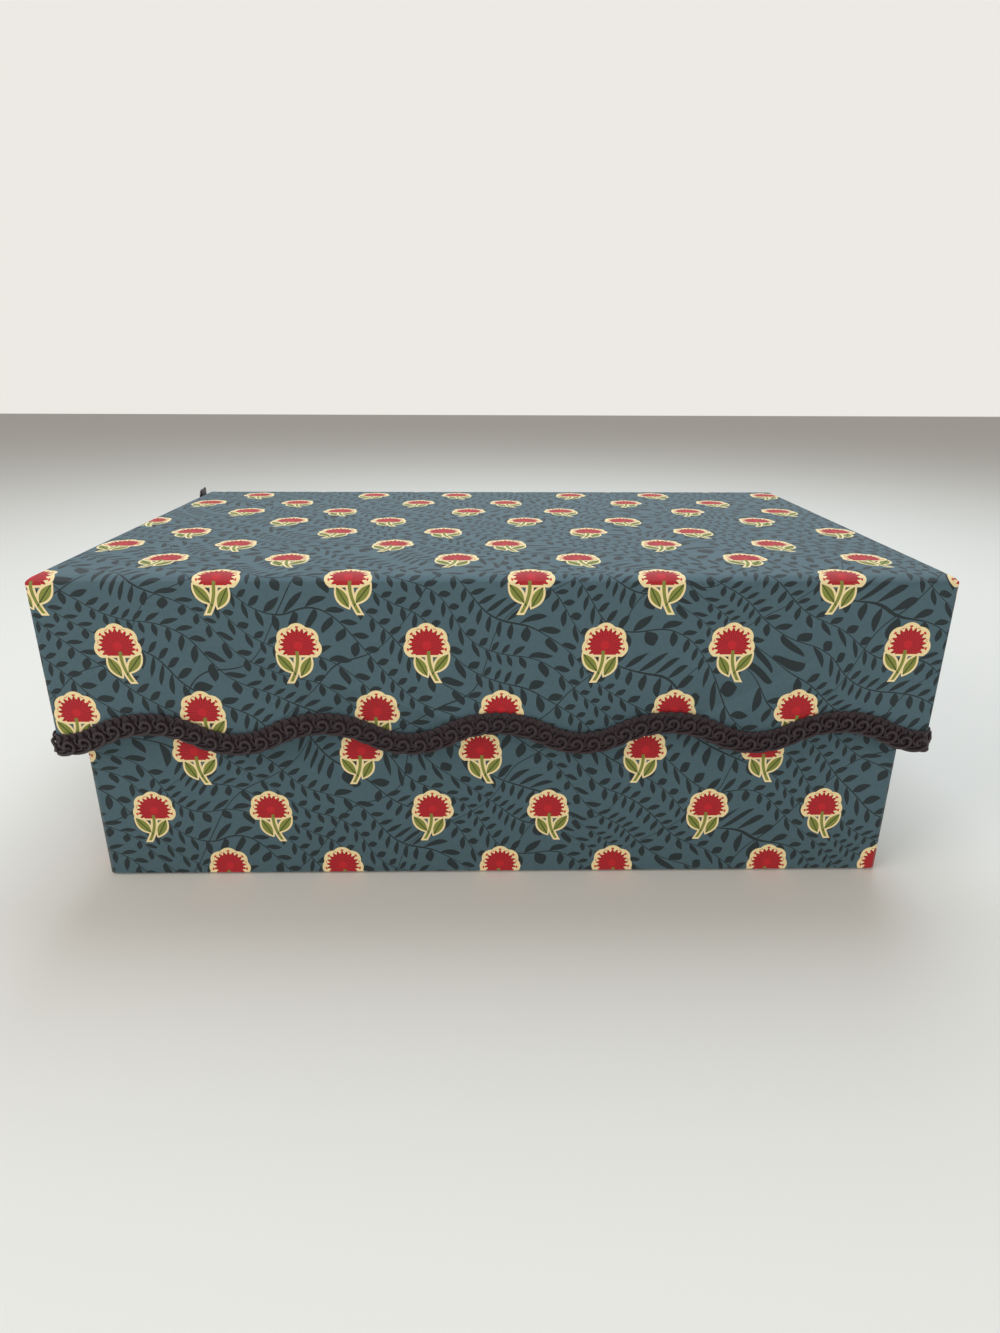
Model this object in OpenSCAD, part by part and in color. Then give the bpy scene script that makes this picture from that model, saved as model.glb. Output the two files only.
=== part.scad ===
// Cloth-covered keepsake box with a deep, hinged lid.
// The box is grey board covered in printed cotton and lined with cloth-covered card.
// The lid's skirt hangs over the front and both sides, and its lower edge is cut in waves.
// A gimp braid follows the waves, turns the front corners and runs up the two rear edges.
// Width is along X, the front faces -Y, and the origin is the middle of the underside.

/* [Overall] */
// Width of the base over its cloth
base_w = 316; // [240:1:400]
// Depth of the base over its cloth, front to back
base_d = 192; // [130:1:260]
// Height of the closed box, without the end of the braid
box_h = 127; // [105:1:180]

/* [Board, card and cloth] */
// Thickness of the grey board
board_t = 2; // [1.5:0.1:3]
// Thickness of the printed cotton with its glue
cloth_t = 0.4; // [0.2:0.05:0.6]
// Thickness of a lining card with its cloth
lining_t = 1; // [0.6:0.1:1.6]
// Thickness of the covered card under the bottom
underside_t = 1; // [0.6:0.1:2]
// Thickness of the wadding on the lid
wadding_t = 1.2; // [0.6:0.1:2.5]
// Width of the cloth turned over the rim and under the bottom
turn_in = 15; // [9:1:24]
// Width of the cloth turned up behind the skirt
hem = 10; // [7:1:16]
// Distance from the rim down to the lining
lining_drop = 5; // [2:0.5:8]
// Gap round a card, so that it slips into its place
card_fit = 0.2; // [0.1:0.05:0.5]
// Distance from the edge of the base to the card under it
underside_inset = 3; // [2:0.5:8]

/* [Lid] */
// Running gap between the base and the skirt's lining
lid_gap = 3; // [2:0.1:5]
// Distance from the top of the lid to the middle of the waves
skirt_h = 64.5; // [45:0.5:80]
// Height of a crest above the middle of the waves, and depth of a trough below it
wave_rise = 4.2; // [2:0.1:6]
// Number of waves across the front
front_waves = 5; // [3:1:7]
// Number of waves along each side
side_waves = 3; // [2:1:4]
// Distance from the skirt's edge up to its lining
lining_rise = 2; // [1:0.5:4]
// Radius of the padded edges at the front and the sides
top_r = 4.5; // [3:0.1:6]
// Radius of the edge over the hinge
back_r = 2; // [1:0.1:2.4]

/* [Cloth hinge] */
// Width of cloth glued to each of the two parts that the hinge joins
hinge_w = 25; // [15:1:35]
// Distance from the end of the hinge to the side of the base
hinge_inset = 4; // [3:0.5:12]
// Distance from the back of the lid to its lining
hinge_land = 9; // [7:0.5:12]

/* [Gimp braid] */
// Width of the braid
braid_w = 9; // [8.4:0.1:11]
// Thickness of the braid's woven ground
ground_t = 0.9; // [0.6:0.1:1.4]
// Thickness of the cord along the lower edge
edge_cord = 1.5; // [1.2:0.1:1.8]
// Height of that cord above the ground
edge_h = 0.9; // [0.5:0.1:1.2]
// Width across an eye, from outside to outside
eye_w = 4.8; // [4:0.1:5]
// Thickness of the cord in the eyes
eye_cord = 1.3; // [1:0.1:1.4]
// Height of an eye above the ground
eye_h = 0.8; // [0.4:0.1:1]
// Width across a picot along the upper edge
picot_w = 2; // [1.6:0.1:2.4]
// Height of a picot above the ground
picot_h = 0.4; // [0.2:0.1:0.6]
// Gap between the cord, the eyes and the picots, so that none of them touch
trim_gap = 0.25; // [0.15:0.05:0.4]
// Distance from one eye to the next
eye_pitch = 6.2; // [5.6:0.1:8]
// Height of the left end of the braid above the lid
loose_end = 2; // [0:0.5:4]

/* [Hidden] */
$fn = 48;

// Colours of the materials
board_colour = "#8f8a80";
print_colour = "#4b6a74";
lining_colour = "#e4d9bf";
wadding_colour = "#f0eee8";
braid_colour = "#2d1e23";

// Upright edges are rounded by the board under the cloth
edge_r = cloth_t + board_t;

// Heights
board_z = underside_t + cloth_t;
floor_z = board_z + board_t;
rim_z = box_h - cloth_t - wadding_t - board_t - lining_t;
lid_under_z = rim_z + lining_t;
wadding_z = lid_under_z + board_t;
wave_z = box_h - skirt_h;
trough_z = wave_z - wave_rise;

// Half sizes of the base, from the board inwards
wall_in = cloth_t + board_t;
turned_in = wall_in + cloth_t;
lined_in = turned_in + lining_t;
half_w = base_w / 2;
half_d = base_d / 2;

// The skirt, from its outside to its lining
skirt_board = cloth_t;
skirt_hem = skirt_board + board_t;
skirt_lining = skirt_hem + cloth_t;
skirt_t = skirt_lining + lining_t;
lid_half_w = half_w + lid_gap + skirt_t;
lid_front = -half_d - lid_gap - skirt_t;
lid_back = half_d;

// Flat stretches that the waves divide, between the rounded edges
front_run = 2 * (lid_half_w - edge_r);
side_run = lid_back - lid_front - edge_r;

// A cut reaches this far past what it cuts
past = 1;
// Straight pieces that a cut edge has to each wave
wave_steps = 16;

// Places across the braid, from its lower edge
cord_in = 0.15;
eye_at = edge_cord + trim_gap + eye_w / 2;
picot_at = braid_w - trim_gap - picot_w / 2;

// Each wave is two arcs of this radius that meet without a corner
function arc_r(pitch) = (pow(pitch / 4, 2) + pow(wave_rise, 2)) / (2 * wave_rise);

// A box between two corners
module block(low, high) {
    translate(low) cube(high - low);
}

// Square-bottomed outline, w wide and h high, with rounded upper corners
module arched(w, h, left_r, right_r) {
    difference() {
        square([w, h]);
        translate([0, h]) corner_cut(left_r);
        translate([w, h]) mirror([1, 0]) corner_cut(right_r);
    }
}

// What a corner of radius r loses, with the corner at the origin
module corner_cut(r) {
    difference() {
        translate([-past, -r]) square([r + past, r + past]);
        translate([r, -r]) circle(r);
        translate([r, -r]) square([past, r + 2 * past]);
    }
}

// Outline of the base, drawn in by inset
module base_outline(inset) {
    w = half_w - inset;
    d = half_d - inset;
    r = edge_r - inset;
    difference() {
        square([2 * w, 2 * d], center = true);
        for (sx = [0, 1], sy = [0, 1]) mirror([sx, 0]) mirror([0, sy])
            translate([-w, d]) corner_cut(r);
    }
}

module base_form(inset, low, high) {
    translate([0, 0, low]) linear_extrude(high - low) base_outline(inset);
}

// Rounded block of the whole lid, drawn in by inset: where three outlines meet
module lid_form(inset) {
    w = lid_half_w - inset;
    d = lid_back - lid_front - 2 * inset;
    h = box_h - inset;
    r = edge_r - inset;
    intersection() {
        // Front view
        translate([-w, lid_back + past, 0]) rotate([90, 0, 0])
            linear_extrude(lid_back - lid_front + 2 * past)
                arched(2 * w, h, top_r - inset, top_r - inset);
        // Side view
        translate([-lid_half_w - past, lid_front + inset, 0]) rotate([90, 0, 90])
            linear_extrude(2 * lid_half_w + 2 * past)
                arched(d, h, top_r - inset, back_r - inset);
        // Plan, with square corners at the back
        translate([0, 0, -past]) linear_extrude(box_h + 2 * past)
            difference() {
                translate([-w, lid_front + inset]) square([2 * w, d]);
                for (sx = [0, 1]) mirror([sx, 0])
                    translate([-w, lid_front + inset]) mirror([0, 1]) corner_cut(r);
            }
    }
}

// Height of the wavy line at x, with a trough at every whole pitch
function wave_at(x, pitch) =
    let (r = arc_r(pitch), t = abs(x - pitch * round(x / pitch)))
    t <= pitch / 4 ? r - wave_rise - sqrt(r * r - t * t)
                   : wave_rise - r + sqrt(r * r - pow(t - pitch / 2, 2));

// Slope of the wavy line at x
function slope_at(x, pitch) = (wave_at(x + 0.01, pitch) - wave_at(x - 0.01, pitch)) / 0.02;

// The point of the braid that is above x on the wavy line and this far across the braid
function across_at(x, pitch, across) =
    let (slope = slope_at(x, pitch), up = across / sqrt(1 + slope * slope))
    [x - slope * up, wave_at(x, pitch) + up];

// A line along the waves, this far across the braid, up to x = end
function wave_line(run, waves, across, end) =
    [for (i = [0 : waves * wave_steps])
        let (p = across_at(i * run / (waves * wave_steps), run / waves, across))
        if (p[0] <= end) p];

function reversed(line) = [for (i = [len(line) - 1 : -1 : 0]) line[i]];

// Everything under a wavy edge that is run long, starts and ends in a trough and runs on level
module under_waves(run, waves) {
    pitch = run / waves;
    ends = lid_back - lid_front;
    polygon([
        [-ends, -box_h], [-ends, -wave_rise],
        for (i = [0 : waves * wave_steps])
            [i * pitch / wave_steps, wave_at(i * pitch / wave_steps, pitch)],
        [run + ends, -wave_rise], [run + ends, -box_h]
    ]);
}

// Cuts the skirt's front along its waves, drawn up by rise
module cut_front_waves(rise, y0, y1) {
    translate([-front_run / 2, y1, wave_z + rise]) rotate([90, 0, 0])
        linear_extrude(y1 - y0) under_waves(front_run, front_waves);
}

// Cuts one side of the skirt along its waves, drawn up by rise
module cut_side_waves(rise, x0, x1) {
    translate([x0, lid_front + edge_r, wave_z + rise]) rotate([90, 0, 90])
        linear_extrude(x1 - x0) under_waves(side_run, side_waves);
}

// Layer of the front of the skirt, between two depths from its outside
module front_layer(outer, inner, rise, high) {
    difference() {
        block([-lid_half_w + outer, lid_front + outer, 0],
              [lid_half_w - outer, lid_front + inner, high]);
        cut_front_waves(rise, lid_front - past, lid_front + inner + past);
    }
}

// Layer of the right side of the skirt, from start to end along Y
module side_layer(outer, inner, rise, start, end, high) {
    difference() {
        block([lid_half_w - inner, start, 0], [lid_half_w - outer, end, high]);
        cut_side_waves(rise, lid_half_w - inner - past, lid_half_w + past);
    }
}

module base_board_bottom() {
    color(board_colour) base_form(cloth_t, board_z, floor_z);
}

module base_wall_front() {
    intersection() {
        base_form(cloth_t, floor_z, rim_z - cloth_t);
        block([-half_w, -half_d, 0], [half_w, -half_d + wall_in, box_h]);
    }
}

module base_board_front() {
    color(board_colour) base_wall_front();
}

module base_board_back() {
    color(board_colour) mirror([0, 1, 0]) base_wall_front();
}

module base_wall_right() {
    block([half_w - wall_in, -half_d + wall_in, floor_z],
          [half_w - cloth_t, half_d - wall_in, rim_z - cloth_t]);
}

module base_board_right() {
    color(board_colour) base_wall_right();
}

module base_board_left() {
    color(board_colour) mirror([1, 0, 0]) base_wall_right();
}

// The cloth round the walls, turned over the rim and under the bottom
module base_cover() {
    color(print_colour) difference() {
        base_form(0, underside_t, rim_z);
        // Room for the boards, beside the cloth that is turned over the rim
        difference() {
            base_form(cloth_t, board_z, rim_z - cloth_t);
            block([-half_w + wall_in, -half_d + wall_in, rim_z - turn_in],
                  [half_w - wall_in, half_d - wall_in, rim_z]);
        }
        // Mouth
        block([-half_w + turned_in, -half_d + turned_in, floor_z],
              [half_w - turned_in, half_d - turned_in, rim_z + past]);
        // The cloth stops short of the middle of the bottom
        block([-half_w + turn_in, -half_d + turn_in, 0],
              [half_w - turn_in, half_d - turn_in, floor_z]);
    }
}

module base_lining_front() {
    color(lining_colour)
        block([-half_w + turned_in + card_fit, -half_d + turned_in, floor_z],
              [half_w - turned_in - card_fit, -half_d + lined_in, rim_z - lining_drop]);
}

// The lining at the back lies on the inner hinge cloth
module base_lining_back() {
    color(lining_colour)
        block([-half_w + turned_in + card_fit, half_d - lined_in - cloth_t, floor_z],
              [half_w - turned_in - card_fit, half_d - turned_in - cloth_t,
               rim_z - lining_drop]);
}

module base_lining_side() {
    block([half_w - lined_in, -half_d + lined_in + card_fit, floor_z],
          [half_w - turned_in, half_d - lined_in - cloth_t - card_fit,
           rim_z - lining_drop]);
}

module base_lining_right() {
    color(lining_colour) base_lining_side();
}

module base_lining_left() {
    color(lining_colour) mirror([1, 0, 0]) base_lining_side();
}

// Covered card that lies on the bottom board, between the four linings
module base_floor_panel() {
    color(lining_colour)
        block([-half_w + lined_in + card_fit, -half_d + lined_in + card_fit, floor_z],
              [half_w - lined_in - card_fit, half_d - lined_in - cloth_t - card_fit,
               floor_z + lining_t]);
}

// Covered card that the box stands on
module base_underside() {
    color(lining_colour)
        block([-half_w + underside_inset, -half_d + underside_inset, 0],
              [half_w - underside_inset, half_d - underside_inset, underside_t]);
}

// Strip down the outside of the back, from the lid's edge over the fold to the wall
module hinge_cloth_outer() {
    color(print_colour)
        block([-half_w + hinge_inset, half_d, rim_z - hinge_w],
              [half_w - hinge_inset, half_d + cloth_t, box_h - back_r]);
}

// Strip inside, down the back wall and forward under the lid's board
module hinge_cloth_inner() {
    color(lining_colour) {
        block([-half_w + turned_in + hinge_inset, half_d - turned_in - cloth_t,
               rim_z - hinge_w],
              [half_w - turned_in - hinge_inset, half_d - turned_in, lid_under_z]);
        block([-half_w + turned_in + hinge_inset, lid_back - hinge_land - hinge_w,
               lid_under_z - cloth_t],
              [half_w - turned_in - hinge_inset, half_d - turned_in, lid_under_z]);
    }
}

module lid_board_top() {
    color(board_colour) intersection() {
        lid_form(cloth_t);
        block([-lid_half_w, lid_front, lid_under_z], [lid_half_w, lid_back, wadding_z]);
    }
}

module lid_board_front() {
    color(board_colour) intersection() {
        lid_form(cloth_t);
        front_layer(skirt_board, skirt_hem, cloth_t, lid_under_z);
    }
}

module lid_side_board() {
    intersection() {
        lid_form(cloth_t);
        side_layer(skirt_board, skirt_hem, cloth_t, lid_front + skirt_hem,
                   lid_back - cloth_t, lid_under_z);
    }
}

module lid_board_right() {
    color(board_colour) lid_side_board();
}

module lid_board_left() {
    color(board_colour) mirror([1, 0, 0]) lid_side_board();
}

module lid_wadding() {
    color(wadding_colour) intersection() {
        lid_form(cloth_t);
        block([-lid_half_w, lid_front, wadding_z], [lid_half_w, lid_back, box_h]);
    }
}

// The cloth over the lid, turned up behind the skirt and round its two rear edges
module lid_cover() {
    color(print_colour) {
        difference() {
            lid_form(0);
            // Room for the boards
            difference() {
                lid_form(cloth_t);
                cut_front_waves(cloth_t, lid_front, lid_front + skirt_hem);
                for (side = [0, 1]) mirror([side, 0, 0])
                    cut_side_waves(cloth_t, lid_half_w - skirt_hem, lid_half_w);
            }
            // Open inside and at the back
            block([-lid_half_w + skirt_hem, lid_front + skirt_hem, -past],
                  [lid_half_w - skirt_hem, lid_back + past, rim_z]);
            // The waves themselves
            difference() {
                cut_front_waves(0, lid_front - past, lid_front + skirt_hem);
                for (side = [0, 1]) mirror([side, 0, 0])
                    block([lid_half_w - cloth_t, lid_front + skirt_hem, 0],
                          [lid_half_w + past, lid_back, box_h]);
            }
            for (side = [0, 1]) mirror([side, 0, 0]) intersection() {
                cut_side_waves(0, lid_half_w - skirt_hem, lid_half_w + past);
                block([0, lid_front + skirt_hem, -past],
                      [lid_half_w + past, lid_back + past, box_h]);
            }
        }
        // Hems, notched at the corners
        difference() {
            block([-lid_half_w + skirt_t, lid_front + skirt_hem, 0],
                  [lid_half_w - skirt_t, lid_front + skirt_lining, trough_z + hem]);
            cut_front_waves(0, lid_front, lid_front + skirt_t);
        }
        for (side = [0, 1]) mirror([side, 0, 0])
            side_layer(skirt_hem, skirt_lining, 0, lid_front + skirt_t,
                       lid_back - cloth_t - card_fit, trough_z + hem);
    }
}

// Covered card under the lid's board, thinner where it lies on the hinge cloth
module lid_lining_top() {
    color(lining_colour) difference() {
        block([-lid_half_w + skirt_t + card_fit, lid_front + skirt_t + card_fit, rim_z],
              [lid_half_w - skirt_t - card_fit, lid_back - hinge_land, lid_under_z]);
        block([-half_w + turned_in + hinge_inset - card_fit,
               lid_back - hinge_land - hinge_w - card_fit, lid_under_z - cloth_t],
              [half_w - turned_in - hinge_inset + card_fit, lid_back, lid_under_z + past]);
    }
}

module lid_lining_front() {
    color(lining_colour)
        front_layer(skirt_lining, skirt_t, lining_rise, lid_under_z);
}

module lid_side_lining() {
    side_layer(skirt_lining, skirt_t, lining_rise, lid_front + skirt_t + card_fit,
               lid_back - cloth_t - card_fit, lid_under_z);
}

module lid_lining_right() {
    color(lining_colour) lid_side_lining();
}

module lid_lining_left() {
    color(lining_colour) mirror([1, 0, 0]) lid_side_lining();
}

// Eye of the braid: a turn of cord that stands on the ground
module eye() {
    translate([0, 0, ground_t]) difference() {
        cylinder(h = eye_h, d = eye_w, $fn = 24);
        translate([0, 0, -past]) cylinder(h = eye_h + 2 * past, d = eye_w - 2 * eye_cord, $fn = 24);
    }
}

// Small loop along the upper edge
module picot() {
    translate([0, 0, ground_t]) cylinder(h = picot_h, d = picot_w, $fn = 24);
}

// The braid's woven ground along a row of waves; it can turn up at the end, as high as top
module braid_ground(run, waves, top) {
    linear_extrude(ground_t) polygon(concat(
        wave_line(run, waves, 0, run),
        top == 0 ? [] : [[run, top], [run - braid_w, top]],
        reversed(wave_line(run, waves, braid_w, top == 0 ? run : run - braid_w - trim_gap))
    ));
}

// The cord that stands on the ground along the waves
module braid_cord(run, waves) {
    translate([0, 0, ground_t]) linear_extrude(edge_h) polygon(concat(
        wave_line(run, waves, cord_in, run),
        reversed(wave_line(run, waves, edge_cord, run))
    ));
}

// Eyes and picots along the waves, from x = 0 to x = end
module braid_eyes(run, waves, end) {
    count = round(end / eye_pitch);
    for (i = [0 : count - 1]) {
        x = (i + 0.5) * end / count;
        translate(across_at(x, run / waves, eye_at)) eye();
        translate(across_at(x, run / waves, picot_at)) picot();
    }
}

// The braid on the front, drawn in the XY plane with the waves' middle on X
module braid_front() {
    braid_ground(front_run, front_waves, 0);
    braid_cord(front_run, front_waves);
    braid_eyes(front_run, front_waves, front_run);
}

// The braid on a side: along the waves, then up the rear edge to the height top
module braid_side(top) {
    braid_ground(side_run, side_waves, top);
    braid_cord(side_run, side_waves);
    braid_eyes(side_run, side_waves, side_run - eye_at - eye_pitch / 2);
    // The cord and the eyes up the rear edge
    low = -wave_rise + edge_cord + trim_gap;
    translate([0, 0, ground_t]) linear_extrude(edge_h)
        translate([side_run - edge_cord, low]) square([edge_cord - cord_in, top - cord_in - low]);
    count = floor((top + wave_rise - eye_at - eye_w / 2) / eye_pitch);
    for (i = [0 : count]) translate([0, -wave_rise + eye_at + i * eye_pitch]) {
        translate([side_run - eye_at, 0]) eye();
        if (i > 0) translate([side_run - picot_at, 0]) picot();
    }
}

// The braid round a front corner, clear of the straight lengths beside it
module braid_corner() {
    rotate(1) rotate_extrude(angle = 88) translate([edge_r, 0]) {
        square([ground_t, braid_w]);
        translate([ground_t, cord_in]) square([edge_h, edge_cord - cord_in]);
    }
}

module gimp_braid() {
    color(braid_colour) {
        translate([-front_run / 2, lid_front, wave_z]) rotate([90, 0, 0]) braid_front();
        translate([lid_half_w, lid_front + edge_r, wave_z]) rotate([90, 0, 90])
            braid_side(box_h - wave_z);
        mirror([1, 0, 0]) translate([lid_half_w, lid_front + edge_r, wave_z])
            rotate([90, 0, 90]) braid_side(box_h + loose_end - wave_z);
        for (side = [0, 1]) mirror([side, 0, 0])
            translate([lid_half_w - edge_r, lid_front + edge_r, trough_z]) rotate(-90)
                braid_corner();
    }
}

base_board_bottom();
base_board_front();
base_board_back();
base_board_left();
base_board_right();
base_cover();
base_lining_front();
base_lining_back();
base_lining_left();
base_lining_right();
base_floor_panel();
base_underside();
hinge_cloth_outer();
hinge_cloth_inner();
lid_board_top();
lid_board_front();
lid_board_left();
lid_board_right();
lid_wadding();
lid_cover();
lid_lining_top();
lid_lining_front();
lid_lining_left();
lid_lining_right();
gimp_braid();
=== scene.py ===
import math

import bmesh
import bpy
import numpy as np
from mathutils import Matrix, Vector


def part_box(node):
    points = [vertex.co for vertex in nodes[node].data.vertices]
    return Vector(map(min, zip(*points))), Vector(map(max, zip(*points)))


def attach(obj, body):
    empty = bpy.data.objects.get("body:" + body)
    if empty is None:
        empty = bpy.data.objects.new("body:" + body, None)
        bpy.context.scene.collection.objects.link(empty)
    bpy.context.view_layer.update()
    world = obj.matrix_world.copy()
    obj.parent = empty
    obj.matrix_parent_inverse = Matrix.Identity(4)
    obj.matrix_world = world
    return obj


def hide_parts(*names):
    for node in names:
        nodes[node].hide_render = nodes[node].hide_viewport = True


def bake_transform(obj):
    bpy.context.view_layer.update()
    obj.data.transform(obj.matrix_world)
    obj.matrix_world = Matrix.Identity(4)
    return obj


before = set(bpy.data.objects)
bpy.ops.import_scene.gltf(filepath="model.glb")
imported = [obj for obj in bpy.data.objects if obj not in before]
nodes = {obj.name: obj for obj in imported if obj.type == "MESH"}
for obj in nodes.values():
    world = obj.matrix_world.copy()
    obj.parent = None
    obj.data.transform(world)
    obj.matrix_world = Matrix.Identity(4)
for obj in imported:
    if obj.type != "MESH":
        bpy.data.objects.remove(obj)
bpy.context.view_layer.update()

MM = 0.001

# Sizes from the frame, in metres
_, base_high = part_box("base_cover")
lid_low, lid_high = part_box("lid_cover")
outer_low, outer_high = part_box("hinge_cloth_outer")
inner_low, inner_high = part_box("hinge_cloth_inner")
rim = base_high.z
TOP_R = 4.5 * MM
EDGE_R = 2.4 * MM
CLOTH_T = 0.4 * MM

# One unit of the print's map is this many metres of cloth
MAP_UNIT = 0.1

# Print: where the vines and their leaves lie, in millimetres and radians
BEND = 27
BEND_SCALE = 0.03
VINE_TURN = 0.62
VINE_GAP = 11
VINE_SHIFT = 3.1
VINE_HALF_W = 0.2
LEAF_GAP = 5.6
LEAF_AT = (0.5, 2.4)
LEAF_TURN = math.radians(54)
LEAF_HALF_L = 2.8
LEAF_HALF_W = 1.15
BRANCH_TURN = -0.75
BRANCH_GAP = 31
BRANCH_HALF_W = 0.18

# Print: where the sprigs lie; they come in pairs, the second one mirrored
ROW_STEP = 26
ROW_SHIFT = 27
REPEAT = 110.5
PAIR_GAP = 62
FIRST_AT = -51
FIRST_IN_REPEAT = 27
SECOND_FROM = 57.5

# Print: the flower head, a fan about its own middle
HEAD_AT = (-1.2, 3.2)
HEAD_BOTTOM = -3.7
PETALS = 7
PETAL_R = 6.8
PETAL_WAVE = 0.9
FRINGES = 21
FRINGE_R = 6.0
FRINGE_WAVE = 0.65
STREAKS = 31
STREAK_FROM_R = 1.6
STREAK_CUT = 0.35
DOTS = 14
DOT_RING_R = 7.0
DOT_HALF_W = 0.33
DOT_CUT = 0.45

# Print: the stem, two leaves and the pale line round the whole sprig
STEM_AT = -0.6
STEM_HALF_W = 0.6
STEM_TOP = 1.0
STEM_FOOT = -10.6
STEM_BOW = 0.028
STEM_BOW_AT = -0.5
LEFT_LEAF = ((-3.3, -4.9), math.radians(118), 4.2, 1.7)
RIGHT_LEAF = ((3.9, -3.6), math.radians(52), 4.3, 1.7)
RIB_HALF_W = 0.22
HALO_W = 0.8

# Waves of the skirt and the braid that follows them
WAVE_RISE = 4.2 * MM
FRONT_WAVES = 5
SIDE_WAVES = 3
BRAID_W = 9 * MM
LOOSE_END = 2 * MM
trough_z = lid_low.z
wave_z = trough_z + WAVE_RISE
side_run = lid_high.y - lid_low.y - EDGE_R
front_run = 2 * (lid_high.x - EDGE_R)
corner_run = EDGE_R * math.pi / 2
whole_run = 2 * side_run + 2 * corner_run + front_run

# Cords of the braid, in millimetres
EYE_PITCH = 6.2
SCROLL_R = 0.66
SECOND_R = 0.5
CORD_SIDES = 8
CORD_END = 0.3
PICOT_R = 0.42
PICOT_SIDES = 6
PICOT_AT = 3.2
PICOT_REACH = 1.0
PICOT_SWAY = 0.75
PICOT_HEIGHT = 0.75
PICOT_LIFT = 0.3
PICOT_END = 0.8
PICOT_STEPS = 10
GROUND_HALF_W = 3.9
GROUND_LOW = 0.02
GROUND_HIGH = 0.5

# Colours
GROUND, GROUND_DEEP, VINE = "#4a656f", "#405962", "#1b282c"
CREAM, RED, CRIMSON = "#f1dba6", "#c01522", "#7d0a18"
LEAF, LEAF_DARK = "#7f8638", "#3f4c1d"
LINING, LINING_DARK = "#e9dec4", "#d6c7a5"
BOARD, BOARD_DARK = "#9b958a", "#6f6a60"
WADDING, WADDING_DARK = "#f2f0ea", "#dcd9d0"
# The cord's two colours are painted shade between its threads and a painted highlight on their crests
CORD_GROOVE_SHADE, CORD_CREST_HIGHLIGHT = "#1b1014", "#3d2b32"
PAPER, SURROUND = "#e6e3dd", "#f2efe9"
COOL_LAMP, WARM_LAMP = (0.78, 0.9, 1), (1, 0.97, 0.92)


def linear(code):
    """A colour written as an sRGB hex value, turned to linear."""
    parts = [int(code[i:i + 2], 16) / 255 for i in (1, 3, 5)]
    return tuple(c / 12.92 if c <= 0.04045 else ((c + 0.055) / 1.055) ** 2.4 for c in parts) + (1,)


def add(tree, kind, *values, inputs=None, **settings):
    """Adds a node with its settings; values go to its sockets in order, inputs by name."""
    node = tree.nodes.new("ShaderNode" + kind)
    for name, value in settings.items():
        setattr(node, name, value)
    for key, value in list(enumerate(values)) + list((inputs or {}).items()):
        if isinstance(value, bpy.types.NodeSocket):
            tree.links.new(value, node.inputs[key])
        else:
            node.inputs[key].default_value = value
    return node.outputs[0]


def calc(tree, operation, *values):
    return add(tree, "Math", *values, operation=operation)


def vector(tree, operation, *values):
    return add(tree, "VectorMath", *values, operation=operation)


def mix(tree, share, under, over):
    return add(tree, "MixRGB", share, under, over)


def noise(tree, place, scale, detail):
    return add(tree, "TexNoise", inputs={"Vector": place, "Scale": scale, "Detail": detail})


def material(name, **finish):
    """A material, its nodes and its shader; finish holds the shader's constant values."""
    mat = bpy.data.materials.new(name)
    mat.use_nodes = True
    shader = mat.node_tree.nodes["Principled BSDF"]
    for key, value in finish.items():
        shader.inputs[key.replace("_", " ").title().replace("Ior", "IOR")].default_value = value
    return mat, mat.node_tree, shader


def bump(tree, shader, height, strength, depth):
    out = add(tree, "Bump", inputs={"Height": height, "Strength": strength, "Distance": depth})
    tree.links.new(out, shader.inputs["Normal"])


def weave_bump(tree, shader, across, along, pitch, strength):
    """Plain weave of threads pitch millimetres apart, from two coordinates in millimetres."""
    turn = 2 * math.pi / pitch
    warp, weft = (calc(tree, "SINE", calc(tree, "MULTIPLY", way, turn)) for way in (across, along))
    bump(tree, shader, calc(tree, "MULTIPLY", warp, weft), strength, 0.1 * MM)


def from_middle(tree, value, gap):
    """Where a value is from the middle of the gap that it falls in, along a row of equal gaps."""
    return calc(tree, "SUBTRACT", calc(tree, "FLOORED_MODULO", value, gap), gap / 2)


def near_zero(tree, value, limit):
    return calc(tree, "LESS_THAN", calc(tree, "ABSOLUTE", value), limit)


def spread(tree, operation, angle, times):
    """A wave that comes this many times in a full turn."""
    return calc(tree, operation, calc(tree, "MULTIPLY", angle, times))


def lens(tree, x, y, place, angle, half_l, half_w):
    """How far a point is outside a pointed leaf with its middle at place, and off its rib."""
    c, s = math.cos(angle), math.sin(angle)
    dx = calc(tree, "SUBTRACT", x, place[0])
    dy = calc(tree, "SUBTRACT", y, place[1])
    along = calc(tree, "MULTIPLY_ADD", dx, c, calc(tree, "MULTIPLY", dy, s))
    over = calc(tree, "MULTIPLY_ADD", dy, c, calc(tree, "MULTIPLY", dx, -s))
    share = calc(tree, "MULTIPLY", along, 1 / half_l)
    edge = calc(tree, "MULTIPLY_ADD", calc(tree, "MULTIPLY", share, share), -half_w, half_w)
    off_rib = calc(tree, "ABSOLUTE", over)
    return calc(tree, "SUBTRACT", off_rib, edge), off_rib


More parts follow.
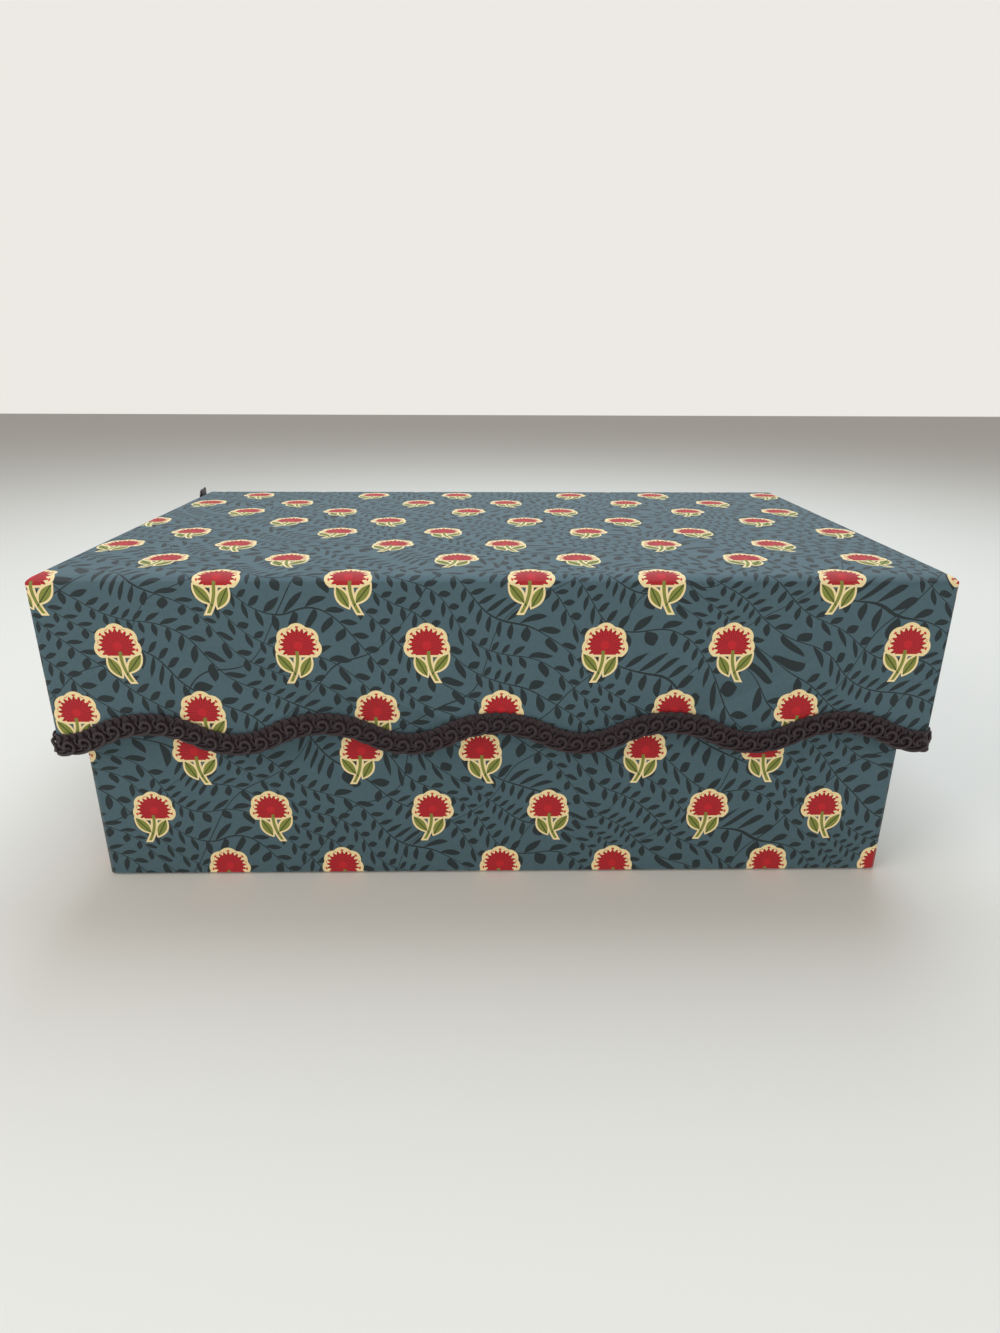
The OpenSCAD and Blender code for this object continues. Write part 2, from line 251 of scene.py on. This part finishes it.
def vines(tree, cloth):
    """1 where vines are printed: slanting lines bent by noise, with leaves at each side in turn."""
    drift = noise(tree, cloth, BEND_SCALE, 0.0).node.outputs["Color"]
    moved = vector(tree, "MULTIPLY", vector(tree, "SUBTRACT", drift, (0.5, 0.5, 0.5)), (BEND, BEND, 0))
    bent = vector(tree, "ADD", cloth, moved)
    slanted = add(tree, "VectorRotate", bent, inputs={"Angle": VINE_TURN}, rotation_type="Z_AXIS")
    along, over = add(tree, "SeparateXYZ", slanted).node.outputs[:2]
    lane = calc(tree, "FLOOR", calc(tree, "MULTIPLY", over, 1 / VINE_GAP))
    along = calc(tree, "MULTIPLY_ADD", lane, VINE_SHIFT, along)
    off = from_middle(tree, over, VINE_GAP)
    ink = near_zero(tree, off, VINE_HALF_W)
    for start, hand in ((0, 1), (LEAF_GAP / 2, -1)):
        at = from_middle(tree, calc(tree, "ADD", along, start), LEAF_GAP)
        outside, _ = lens(tree, at, off, (LEAF_AT[0], hand * LEAF_AT[1]), hand * LEAF_TURN,
                          LEAF_HALF_L, LEAF_HALF_W)
        ink = calc(tree, "MAXIMUM", ink, calc(tree, "LESS_THAN", outside, 0))
    # A few branches cross from one vine to the next
    crossing = add(tree, "VectorRotate", bent, inputs={"Angle": BRANCH_TURN}, rotation_type="Z_AXIS")
    branch = from_middle(tree, add(tree, "SeparateXYZ", crossing).node.outputs[1], BRANCH_GAP)
    return calc(tree, "MAXIMUM", ink, near_zero(tree, branch, BRANCH_HALF_W))


def sprig_axes(tree, x, y):
    """A point's place beside and above the middle of the nearest sprig."""
    row = calc(tree, "FLOOR", calc(tree, "MULTIPLY_ADD", y, 1 / ROW_STEP, 0.5))
    up = calc(tree, "MULTIPLY_ADD", row, -ROW_STEP, y)
    shifted = calc(tree, "MULTIPLY_ADD", row, ROW_SHIFT, x)
    shifted = calc(tree, "ADD", shifted, FIRST_IN_REPEAT - FIRST_AT)
    wrapped = calc(tree, "FLOORED_MODULO", shifted, REPEAT)
    second = calc(tree, "GREATER_THAN", wrapped, SECOND_FROM)
    plain = calc(tree, "SUBTRACT", wrapped, FIRST_IN_REPEAT)
    mirrored = calc(tree, "SUBTRACT", FIRST_IN_REPEAT + PAIR_GAP, wrapped)
    change = calc(tree, "SUBTRACT", mirrored, plain)
    return calc(tree, "MULTIPLY_ADD", second, change, plain), up


def sprig(tree, side, up):
    """The sprig's layers, from the lowest, as pairs of where it is printed and the colour."""
    # The head is a fan of petals, cut off level below
    hx = calc(tree, "SUBTRACT", side, HEAD_AT[0])
    hy = calc(tree, "SUBTRACT", up, HEAD_AT[1])
    radius = calc(tree, "SQRT", calc(tree, "MULTIPLY_ADD", hx, hx, calc(tree, "MULTIPLY", hy, hy)))
    angle = calc(tree, "ARCTAN2", hx, hy)
    lobes = calc(tree, "ABSOLUTE", spread(tree, "COSINE", angle, PETALS / 2))
    edge = calc(tree, "MULTIPLY_ADD", lobes, PETAL_WAVE, PETAL_R)
    below = calc(tree, "SUBTRACT", HEAD_BOTTOM, hy)
    head = calc(tree, "MAXIMUM", calc(tree, "SUBTRACT", radius, edge), below)
    # Stem and leaves
    bow = calc(tree, "SUBTRACT", up, STEM_BOW_AT)
    bow = calc(tree, "MULTIPLY", bow, bow)
    line = calc(tree, "SUBTRACT", calc(tree, "MULTIPLY_ADD", bow, -STEM_BOW, side), STEM_AT)
    stem = calc(tree, "SUBTRACT", calc(tree, "ABSOLUTE", line), STEM_HALF_W)
    stem = calc(tree, "MAXIMUM", stem, calc(tree, "SUBTRACT", up, STEM_TOP))
    stem = calc(tree, "MAXIMUM", stem, calc(tree, "SUBTRACT", STEM_FOOT, up))
    left, left_rib = lens(tree, side, up, *LEFT_LEAF)
    right, right_rib = lens(tree, side, up, *RIGHT_LEAF)
    green = calc(tree, "MINIMUM", calc(tree, "MINIMUM", left, right), stem)
    rib = calc(tree, "MINIMUM", left_rib, right_rib)

    halo_in = calc(tree, "LESS_THAN", calc(tree, "MINIMUM", head, green), HALO_W)
    dots = calc(tree, "GREATER_THAN", spread(tree, "COSINE", angle, DOTS), DOT_CUT)
    ring = near_zero(tree, calc(tree, "SUBTRACT", radius, DOT_RING_R), DOT_HALF_W)
    head_in = calc(tree, "LESS_THAN", head, 0)
    dot_in = calc(tree, "MULTIPLY", calc(tree, "MULTIPLY", dots, ring), head_in)
    fringe = spread(tree, "COSINE", angle, FRINGES)
    red_in = calc(tree, "LESS_THAN", radius, calc(tree, "MULTIPLY_ADD", fringe, FRINGE_WAVE, FRINGE_R))
    red_in = calc(tree, "MULTIPLY", red_in, calc(tree, "LESS_THAN", below, 0))
    streaks = calc(tree, "GREATER_THAN", spread(tree, "SINE", angle, STREAKS), STREAK_CUT)
    streaks = calc(tree, "MULTIPLY", streaks, calc(tree, "GREATER_THAN", radius, STREAK_FROM_R))
    streak_in = calc(tree, "MULTIPLY", red_in, streaks)
    green_in = calc(tree, "LESS_THAN", green, 0)
    vein_in = calc(tree, "MULTIPLY", green_in, calc(tree, "LESS_THAN", rib, RIB_HALF_W))
    return ((halo_in, CREAM), (dot_in, RED), (red_in, RED), (streak_in, CRIMSON),
            (green_in, LEAF), (vein_in, LEAF_DARK))


def printed_cotton():
    # Matt cotton with a slight sheen: red fringed flowers over dark trailing leaves on blue-green
    mat, tree, shader = material("printed plain-weave cotton", roughness=0.8, sheen_weight=0.1,
                                 sheen_roughness=0.45)
    # The print is drawn in millimetres of cloth laid flat
    unit = MAP_UNIT / MM
    cloth = vector(tree, "MULTIPLY", add(tree, "UVMap", uv_map="print"), (unit, unit, 0))
    x, y = add(tree, "SeparateXYZ", cloth).node.outputs[:2]
    # The dye takes a little unevenly
    colour = mix(tree, noise(tree, cloth, 0.6, 4.0), linear(GROUND), linear(GROUND_DEEP))
    for share, ink in ((vines(tree, cloth), VINE), *sprig(tree, *sprig_axes(tree, x, y))):
        colour = mix(tree, share, colour, linear(ink))
    tree.links.new(colour, shader.inputs["Base Color"])
    # Threads are 0.3 mm apart, drawn at 0.6 mm so that they show
    weave_bump(tree, shader, x, y, 0.6, 0.25)
    return mat


def mottled(tree, shader, scale, detail, light, dark):
    """Base colour that varies with fine noise; gives the place on the object."""
    place = add(tree, "TexCoord").node.outputs["Object"]
    colour = mix(tree, noise(tree, place, scale, detail), linear(light), linear(dark))
    tree.links.new(colour, shader.inputs["Base Color"])
    return place


def cream_cotton():
    # Plain cream lining cotton, matt, with slubs
    mat, tree, shader = material("plain cream lining cotton", roughness=0.85, sheen_weight=0.2)
    place = mottled(tree, shader, 900.0, 3.0, LINING, LINING_DARK)
    axes = add(tree, "SeparateXYZ", vector(tree, "MULTIPLY", place, (1 / MM,) * 3)).node.outputs
    weave_bump(tree, shader, axes[0], calc(tree, "ADD", axes[1], axes[2]), 0.8, 0.3)
    return mat


def grey_board():
    # Binder's board of pulped fibre, dull, with dark flecks
    mat, tree, shader = material("grey binder's board", roughness=0.92)
    mottled(tree, shader, 1400.0, 6.0, BOARD, BOARD_DARK)
    return mat


def white_wadding():
    # Soft polyester wadding, fluffy and white
    mat, tree, shader = material("polyester wadding", roughness=0.95, sheen_weight=0.3)
    mottled(tree, shader, 500.0, 8.0, WADDING, WADDING_DARK)
    return mat


def gimp_satin():
    # Viscose thread wound round a core: dark; its colour has a painted highlight on each thread's crest
    # and painted shade in the grooves between threads
    mat, tree, shader = material("satin-wound gimp cord", roughness=0.42, sheen_weight=0.08,
                                 specular_ior_level=0.45)
    along, turns = add(tree, "SeparateXYZ", add(tree, "UVMap", uv_map="wind")).node.outputs[:2]
    # Threads cross the cord at a slant, 0.35 mm apart
    slant = calc(tree, "MULTIPLY", along, 2 * math.pi / 0.35)
    threads = calc(tree, "SINE", calc(tree, "MULTIPLY_ADD", turns, 2 * math.pi, slant))
    # Base colour follows the thread relief: painted highlight on the crests, painted shade in the grooves
    share = calc(tree, "MULTIPLY_ADD", threads, 0.5, 0.5)
    tree.links.new(mix(tree, share, linear(CORD_GROOVE_SHADE), linear(CORD_CREST_HIGHLIGHT)), shader.inputs["Base Color"])
    bump(tree, shader, threads, 0.5, 0.2 * MM)
    return mat


def put_material(piece, mat):
    piece.data.materials.clear()
    piece.data.materials.append(mat)


cotton, lining, board = printed_cotton(), cream_cotton(), grey_board()
wadding, satin = white_wadding(), gimp_satin()
for name, node in nodes.items():
    if "lining" in name or name in ("base_floor_panel", "base_underside"):
        put_material(node, lining)
    elif "board" in name:
        put_material(node, board)
    elif name == "lid_wadding":
        put_material(node, wadding)


def finish_piece(piece, mat, body, replaced):
    put_material(piece, mat)
    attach(piece, body)
    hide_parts(replaced)


def link_piece(shape, mesh, name):
    """Turns a finished shape into a piece of the scene."""
    shape.to_mesh(mesh)
    shape.free()
    piece = bpy.data.objects.new(name, mesh)
    bpy.context.scene.collection.objects.link(piece)
    return piece


def skin(shape, rings):
    """Joins rings of points into a closed solid; gives the faces from each ring to the next."""
    sides = [[shape.faces.new((a[k], a[(k + 1) % len(a)], b[(k + 1) % len(a)], b[k]))
              for k in range(len(a))] for a, b in zip(rings, rings[1:])]
    shape.faces.new(rings[0][::-1])
    shape.faces.new(rings[-1])
    return sides


# Cloth glued over the boards


def arc_length(over, drop, r):
    """Way along a rounded edge: over is the place on the level face, drop is how far down."""
    if drop >= r:
        return -(drop - r)
    if over >= r:
        return r * math.pi / 2 + over - r
    return r * math.atan2(r - drop, r - over)


def lid_cloth_place(co, normal):
    """Where a point of the lid's cloth was on the flat cloth, in metres."""
    drop = lid_high.z - co.z
    half = lid_high.x
    sideways = abs(normal.x) > max(abs(normal.y), abs(normal.z))
    on_side_edge = abs(normal.x) > abs(normal.y) and abs(co.x) > half - TOP_R
    if sideways or on_side_edge:
        turn = arc_length(half - abs(co.x), drop, TOP_R)
        out = half - TOP_R + TOP_R * math.pi / 2 - turn
        return math.copysign(out, co.x), TOP_R * math.pi / 2 + co.y - lid_low.y - TOP_R
    return co.x, arc_length(co.y - lid_low.y, drop, TOP_R)


def base_cloth_place(co, normal):
    """Where a point of the base's cloth was: round the walls, then up."""
    w, d = base_high.x, base_high.y
    if abs(normal.x) > abs(normal.y):
        return math.copysign(w + (co.y + d), co.x), co.z
    if co.y > 0:
        return w + 2 * d + (w - co.x), co.z
    return co.x, co.z


def lay_print(shape, place_of, shift):
    """Maps each corner to its place on the flat cloth, shifted by millimetres."""
    layer = shape.loops.layers.uv.new("print")
    for face in shape.faces:
        for corner in face.loops:
            place = place_of(corner.vert.co, face.normal)
            corner[layer].uv = [(p + s * MM) / MAP_UNIT for p, s in zip(place, shift)]


def glued_cloth(node_name, body, place_of, name, shift):
    """The cloth of a CAD node, with its print laid out on the flat cloth."""
    mesh = nodes[node_name].data.copy()
    shape = bmesh.new()
    shape.from_mesh(mesh)
    bmesh.ops.remove_doubles(shape, verts=shape.verts, dist=1e-6)
    lay_print(shape, place_of, shift)
    piece = link_piece(shape, mesh, name)
    bpy.ops.object.select_all(action="DESELECT")
    piece.select_set(True)
    bpy.context.view_layer.objects.active = piece
    bpy.ops.object.shade_smooth_by_angle(angle=math.radians(35))
    finish_piece(piece, cotton, body, node_name)


glued_cloth("lid_cover", "lid", lid_cloth_place, "lid_printed_cloth", (0, -2))
glued_cloth("base_cover", "base", base_cloth_place, "base_printed_cloth", (37.5, -27))


# Hinge cloths


def hinge_strip(name, node_name, mat, section):
    """A strip of cloth that bends over the fold; section is its outline as pairs of y and z."""
    low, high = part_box(node_name)
    shape = bmesh.new()
    rings = [[shape.verts.new((x, y, z)) for y, z in section] for x in np.linspace(low.x, high.x, 24)]
    skin(shape, rings)
    bmesh.ops.recalc_face_normals(shape, faces=shape.faces)
    lay_print(shape, lambda co, normal: (-co.x, co.z), (0, 9))
    piece = link_piece(shape, bpy.data.meshes.new(name), name)
    piece.data.materials.append(mat)
    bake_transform(piece)
    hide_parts(node_name)
    return piece


# Over the fold at the back, outside
levels = [outer_low.z, *(rim + z * MM for z in (-4, -2, -1, 0, 1, 2)), outer_high.z]
section = [(outer_high.y, z) for z in levels] + [(outer_low.y, z) for z in reversed(levels)]
outer = hinge_strip("hinge_cloth_back", "hinge_cloth_outer", cotton, section)

# Inside, up the back wall and forward under the lid
front_y, under_z = inner_high.y - CLOTH_T, inner_high.z - CLOTH_T
levels = [inner_low.z, *(rim + z * MM for z in (-6, -3, -1, -0.5, 0, 0.4))]
section = [(inner_high.y, z) for z in levels]
section += [(inner_high.y, inner_high.z), (inner_low.y, inner_high.z)]
section += [(inner_low.y, under_z), (front_y, under_z)]
section += [(front_y, z) for z in reversed(levels)]
inner = hinge_strip("hinge_cloth_inside", "hinge_cloth_inner", lining, section)


# Gimp braid. It is laid out flat first: s runs along its middle, t across it, n off the cloth.


def on_skirt(run, z, n):
    """A point run along the skirt from its left rear edge, at height z and n off the cloth."""
    x, y0 = lid_high.x, lid_low.y
    r = EDGE_R + n
    if run <= side_run:
        return (-x - n, lid_high.y - run, z)
    run -= side_run
    if run <= corner_run:
        a = run / EDGE_R
        return (-x + EDGE_R - r * math.cos(a), y0 + EDGE_R - r * math.sin(a), z)
    run -= corner_run
    if run <= front_run:
        return (-x + EDGE_R + run, y0 - n, z)
    run -= front_run
    if run <= corner_run:
        a = run / EDGE_R
        return (x - EDGE_R + r * math.sin(a), y0 + EDGE_R - r * math.cos(a), z)
    return (x + n, y0 + EDGE_R + run - corner_run, z)


def wave_height(run, length, count):
    """Height of the wavy line over its middle; each wave is two arcs."""
    pitch = length / count
    r = ((pitch / 4) ** 2 + WAVE_RISE ** 2) / (2 * WAVE_RISE)
    t = abs(run - pitch * round(run / pitch))
    if t <= pitch / 4:
        return r - WAVE_RISE - math.sqrt(r * r - t * t)
    return WAVE_RISE - r + math.sqrt(r * r - (t - pitch / 2) ** 2)


def lower_edge(run):
    """Height of the skirt's lower edge, run along it from the left rear edge."""
    front_from = side_run + corner_run
    if run < side_run:
        return wave_z + wave_height(run, side_run, SIDE_WAVES)
    if run < front_from:
        return trough_z
    if run < front_from + front_run:
        return wave_z + wave_height(run - front_from, front_run, FRONT_WAVES)
    if run < front_from + front_run + corner_run:
        return trough_z
    return wave_z + wave_height(run - front_from - front_run - corner_run, side_run, SIDE_WAVES)


def middle_line():
    """The braid's middle on the unrolled skirt: down the left rear edge, along, and up the right."""
    half = BRAID_W / 2
    step = 0.5 * MM
    turn_r = half + 0.4 * MM
    end = whole_run - half
    low = trough_z + half
    turns = np.linspace(0, math.pi / 2, 14)
    points = [(half, z) for z in np.arange(lid_high.z + LOOSE_END, low + turn_r, -step)]
    points += [(half + turn_r - turn_r * math.cos(a), low + turn_r - turn_r * math.sin(a)) for a in turns]
    for run in np.arange(2 * turn_r + half, whole_run - 2 * turn_r - half, step):
        slope = (lower_edge(run + 0.1 * MM) - lower_edge(run - 0.1 * MM)) / (0.2 * MM)
        scale = half / math.hypot(1, slope)
        points.append((run - slope * scale, lower_edge(run) + scale))
    points += [(end - turn_r + turn_r * math.sin(a), low + turn_r - turn_r * math.cos(a)) for a in turns]
    points += [(end, z) for z in np.arange(low + turn_r, lid_high.z - TOP_R, step)]
    points = np.array(points)
    # Rounds the joins
    for _ in range(12):
        points[1:-1] = (points[:-2] + 2 * points[1:-1] + points[2:]) / 4
    return points


line = middle_line()
ways = np.concatenate([[0], np.cumsum(np.hypot(*np.diff(line, axis=0).T))])
braid_length = float(ways[-1])
tangents = np.gradient(line, ways, axis=0)
tangents /= np.linalg.norm(tangents, axis=1)[:, None]


def braid_point(s, t, n):
    """From the flat braid, in millimetres, to the skirt. t grows away from the lower edge."""
    s, t, n = min(max(s * MM, 0), braid_length), t * MM, n * MM
    run, z = (np.interp(s, ways, line[:, i]) for i in (0, 1))
    way = [np.interp(s, ways, tangents[:, i]) for i in (0, 1)]
    return on_skirt(run - way[1] * t, z + way[0] * t, n)


def cord(shape, layer, path, radius, sides):
    """A cord through points of the flat braid; its map holds millimetres along and turns round."""
    points = [Vector(braid_point(*p)) for p in path]
    radius *= MM
    rings, across = [], None
    for i, point in enumerate(points):
        ahead = (points[min(i + 1, len(points) - 1)] - points[max(i - 1, 0)]).normalized()
        if across is None:
            across = ahead.orthogonal().normalized()
        across = (across - ahead * across.dot(ahead)).normalized()
        other = ahead.cross(across)
        rings.append([shape.verts.new(point + radius * (across * math.cos(a) + other * math.sin(a)))
                      for a in (2 * math.pi * k / sides for k in range(sides))])
    way = 0
    for faces, point, following in zip(skin(shape, rings), points, points[1:]):
        step = (following - point).length / MM
        for k, face in enumerate(faces):
            face.smooth = True
            for corner, spot in zip(face.loops, ((0, 0), (0, 1), (1, 1), (1, 0))):
                corner[layer].uv = (way + step * spot[0], (k + spot[1]) / sides)
        way += step


def smooth_path(points, count):
    """A curve that passes through all the points, as this many new ones."""
    p = np.array([points[0]] + list(points) + [points[-1]], float)
    out = []
    for u in np.linspace(0, len(points) - 1.0001, count):
        i, f = int(u), u - int(u)
        a, b, c, d = p[i:i + 4]
        out.append(0.5 * (2 * b + (c - a) * f + (2 * a - 5 * b + 4 * c - d) * f * f
                          + (3 * b - a - 3 * c + d) * f ** 3))
    return out


# One scroll: along the lower edge, up and back over into a round eye; and the cord beside it
SCROLL = smooth_path([(-6.6, -3.0, 0.45), (-4.4, -3.7, 0.6), (-1.8, -3.9, 0.9), (0.8, -3.5, 1.2),
                      (2.7, -2.1, 1.45), (3.1, -0.1, 1.6), (1.9, 1.3, 1.7), (0.2, 1.1, 1.6),
                      (-0.5, -0.3, 1.3), (0.4, -1.4, 1.0), (1.5, -0.9, 0.8)], 30)
SECOND = smooth_path([(-6.0, -1.6, 0.4), (-4.0, -2.4, 0.6), (-1.8, -2.6, 0.8), (-0.6, -1.7, 1.0),
                      (-1.6, -0.4, 1.1), (-2.2, 1.0, 1.1), (-1.4, 2.4, 1.0)], 16)


def make_braid():
    shape = bmesh.new()
    layer = shape.loops.layers.uv.new("wind")
    length = braid_length / MM
    count = round(length / EYE_PITCH)
    spacing = length / count
    for i in range(count):
        start = (i + 0.5) * spacing
        for path, radius in ((SCROLL, SCROLL_R), (SECOND, SECOND_R)):
            # Cords stop just short of the braid's ends
            spots = [(max(min(start + s, length - CORD_END), CORD_END), t, n) for s, t, n in path]
            cord(shape, layer, spots, radius, CORD_SIDES)
    # Picots: one cord that loops back on itself along the upper edge
    step = EYE_PITCH / 2
    loops = []
    for s in np.arange(PICOT_END, length - PICOT_END, step / PICOT_STEPS):
        a = 2 * math.pi * s / step
        loops.append((s + PICOT_SWAY * math.sin(a), PICOT_AT + PICOT_REACH * math.cos(a),
                      PICOT_HEIGHT + PICOT_LIFT * math.sin(a)))
    cord(shape, layer, loops, PICOT_R, PICOT_SIDES)
    # The ground under the cords
    w, low, high = GROUND_HALF_W, GROUND_LOW, GROUND_HIGH
    skin(shape, [[shape.verts.new(braid_point(s, t, n))
                  for t, n in ((-w, low), (w, low), (w, high), (-w, high))]
                 for s in np.arange(0, length, 1)])
    bmesh.ops.recalc_face_normals(shape, faces=shape.faces)
    return link_piece(shape, bpy.data.meshes.new("gimp_braid_cords"), "gimp_braid_cords")


finish_piece(make_braid(), satin, "lid", "gimp_braid")

# Floor: matt pale paper, which takes soft shadows
bpy.ops.object.select_all(action="DESELECT")
bpy.ops.mesh.primitive_plane_add(size=6, location=(0, 0, 0))
floor = bpy.context.object
floor.name = "floor"
floor_mat, _, floor_shader = material("matt pale paper", roughness=0.9)
floor_shader.inputs["Base Color"].default_value = linear(PAPER)
floor.data.materials.append(floor_mat)


def area_light(name, place, aim_z, size, power, colour):
    """A square lamp that points at the box's middle, at height aim_z."""
    data = bpy.data.lights.new(name, "AREA")
    data.shape, data.size, data.energy, data.color = "SQUARE", size, power, colour
    lamp = bpy.data.objects.new(name, data)
    lamp.location = place
    aim = Vector((0, 0, aim_z)) - Vector(place)
    lamp.rotation_euler = aim.to_track_quat("-Z", "Y").to_euler()
    bpy.context.scene.collection.objects.link(lamp)


area_light("sky_panel", (0.1, 0.5, 1.1), 0.08, 0.9, 11, COOL_LAMP)
area_light("left_panel", (-1.0, -0.6, 0.7), 0.06, 0.8, 6, WARM_LAMP)
area_light("front_panel", (0.5, -1.4, 0.6), 0.06, 1.0, 5.5, WARM_LAMP)

# Pale surround, which looks brighter than the light that it gives
LIGHT_GIVEN = 0.45
LIGHT_SEEN = 0.95
world = bpy.data.worlds.new("studio")
bpy.context.scene.world = world
world.use_nodes = True
sky = world.node_tree.nodes["Background"]
sky.inputs["Color"].default_value = linear(SURROUND)
to_camera = add(world.node_tree, "LightPath").node.outputs["Is Camera Ray"]
strength = calc(world.node_tree, "MULTIPLY_ADD", to_camera, LIGHT_SEEN - LIGHT_GIVEN, LIGHT_GIVEN)
world.node_tree.links.new(strength, sky.inputs["Strength"])

# Camera, solved from the straight edges of the box in the 1000 by 1333 picture
FOCAL_PX = 803
PICTURE_H = 1333
SENSOR = 36
CAMERA_X, CAMERA_BEFORE_LID, CAMERA_Z = -0.004, 0.3729, 0.197
yaw, pitch, roll = math.radians(1.09), math.radians(20.72), math.radians(0.25)
ahead = Vector((math.sin(yaw) * math.cos(pitch), math.cos(yaw) * math.cos(pitch), -math.sin(pitch)))
right = Vector((math.cos(yaw), -math.sin(yaw), 0))
above = right.cross(ahead)
turned_right = math.cos(roll) * right + math.sin(roll) * above
turned_above = -math.sin(roll) * right + math.cos(roll) * above
camera_data = bpy.data.cameras.new("camera")
camera_data.sensor_width = SENSOR
camera_data.lens = FOCAL_PX / PICTURE_H * SENSOR
camera = bpy.data.objects.new("camera", camera_data)
camera_y = (lid_low.y + lid_high.y) / 2 - CAMERA_BEFORE_LID
camera.matrix_world = Matrix.Translation(Vector((CAMERA_X, camera_y, CAMERA_Z))) @ Matrix(
    (turned_right, turned_above, -ahead)).transposed().to_4x4()
bpy.context.scene.collection.objects.link(camera)
bpy.context.scene.camera = camera
bpy.context.scene.view_settings.view_transform = "Standard"
